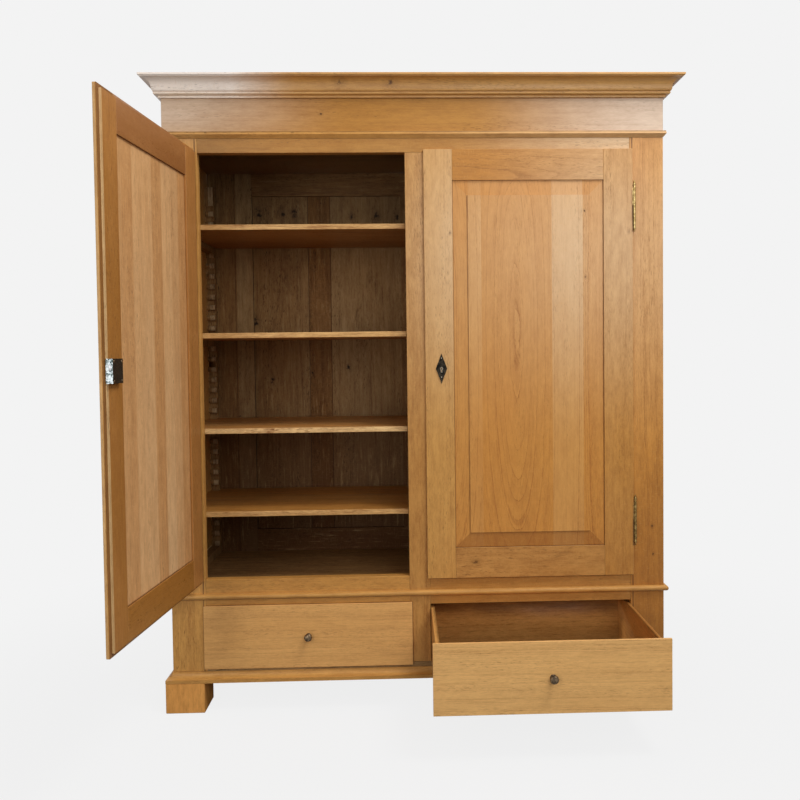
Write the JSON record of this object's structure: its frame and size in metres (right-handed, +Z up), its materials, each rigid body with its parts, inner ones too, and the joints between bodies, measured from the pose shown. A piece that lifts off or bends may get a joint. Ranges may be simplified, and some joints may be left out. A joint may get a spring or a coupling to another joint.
{
  "type": "wardrobe",
  "caption": "Free-standing oak wardrobe with a moulded cornice, hinged fielded doors, shelves on notched racks, a hanging rail, drawers below and block feet.",
  "frame": {"origin": "on the floor, at the centre of the box round the object at rest, open door and drawer included", "axes": "+X to the right seen from the front, +Y from the doors to the back, +Z up"},
  "size_m": [1.712, 1.2333, 2.024],
  "materials": {
    "oak_carcass": "satin oiled oak",
    "oak_door_frame": "satin oiled oak",
    "oak_panel": "satin oiled oak, jointed boards of differing tone",
    "oak_drawer_front": "satin oiled oak",
    "oak_drawer_box": "planed oak",
    "oak_inside": "planed oak, darker inside",
    "oak_shelf": "satin oiled oak",
    "oak_moulding": "satin oiled oak",
    "oak_foot": "satin oiled oak",
    "brass_hinge": "aged brass",
    "dark_bronze": "dark patinated bronze",
    "lock_iron": "dark iron case with a bright end plate",
    "bolt_steel": "plain steel"
  },
  "bodies": {
    "carcass": {"front_post_left": "oak_carcass", "front_post_right": "oak_carcass", "centre_post": "oak_carcass", "top_rail": "oak_carcass", "waist_rail": "oak_carcass", "side_left": "oak_carcass", "side_right": "oak_carcass", "back_frame": "oak_inside", "back_panel_left": "oak_inside", "back_panel_right": "oak_inside", "partition": "oak_inside", "floor_board": "oak_inside", "top_board": "oak_moulding", "base_board": "oak_inside", "drawer_divider": "oak_inside", "base_moulding": "oak_moulding", "foot_front_left": "oak_foot", "foot_front_right": "oak_foot", "foot_back_left": "oak_foot", "foot_back_right": "oak_foot", "belt_moulding": "oak_moulding", "frieze": "oak_moulding", "cornice": "oak_moulding", "shelf_1": "oak_shelf", "shelf_2": "oak_shelf", "shelf_3": "oak_shelf", "shelf_4": "oak_shelf", "shelf_rack_outer": "oak_inside", "shelf_rack_inner": "oak_inside", "hanging_rail": "oak_shelf", "left_upper_hinge_post_half": "brass_hinge", "left_lower_hinge_post_half": "brass_hinge", "right_upper_hinge_post_half": "brass_hinge", "right_lower_hinge_post_half": "brass_hinge"},
    "left_door": {"left_door_hinge_stile": "oak_door_frame", "left_door_lock_stile": "oak_door_frame", "left_door_top_rail": "oak_door_frame", "left_door_bottom_rail": "oak_door_frame", "left_door_panel": "oak_panel", "left_upper_hinge_door_half": "brass_hinge", "left_lower_hinge_door_half": "brass_hinge", "left_lock_case": "lock_iron", "left_escutcheon": "dark_bronze"},
    "right_door": {"right_door_hinge_stile": "oak_door_frame", "right_door_lock_stile": "oak_door_frame", "right_door_top_rail": "oak_door_frame", "right_door_bottom_rail": "oak_door_frame", "right_door_panel": "oak_panel", "right_upper_hinge_door_half": "brass_hinge", "right_lower_hinge_door_half": "brass_hinge", "right_lock_case": "lock_iron", "right_escutcheon": "dark_bronze"},
    "left_drawer": {"left_drawer_front": "oak_drawer_front", "left_drawer_box": "oak_drawer_box", "left_drawer_knob": "dark_bronze"},
    "right_drawer": {"right_drawer_front": "oak_drawer_front", "right_drawer_box": "oak_drawer_box", "right_drawer_knob": "dark_bronze"},
    "left_bolt": {"left_lock_bolt": "bolt_steel"},
    "right_bolt": {"right_lock_bolt": "bolt_steel"}
  },
  "joints": [
    {"name": "left_door_hinge", "type": "hinge", "parent": "carcass", "child": "left_door", "pos_m": [-0.7045, 0.05944, 0], "axis": [0, 0, -1], "range_deg": [-95.5, 74.5]},
    {"name": "right_door_hinge", "type": "hinge", "parent": "carcass", "child": "right_door", "pos_m": [0.7045, 0.05944, 0], "axis": [0, 0, 1], "range_deg": [0, 170]},
    {"name": "left_drawer_slide", "type": "slide", "parent": "carcass", "child": "left_drawer", "axis": [0, -1, 0], "range_m": [0, 0.42]},
    {"name": "right_drawer_slide", "type": "slide", "parent": "carcass", "child": "right_drawer", "axis": [0, -1, 0], "range_m": [-0.396, 0.024]},
    {"name": "left_bolt_slide", "type": "slide", "parent": "left_door", "child": "left_bolt", "axis": [-0.0958, -0.9954, 0], "range_m": [0, 0.01]},
    {"name": "right_bolt_slide", "type": "slide", "parent": "right_door", "child": "right_bolt", "axis": [-1, 0, 0], "range_m": [0, 0.01]}
  ]
}
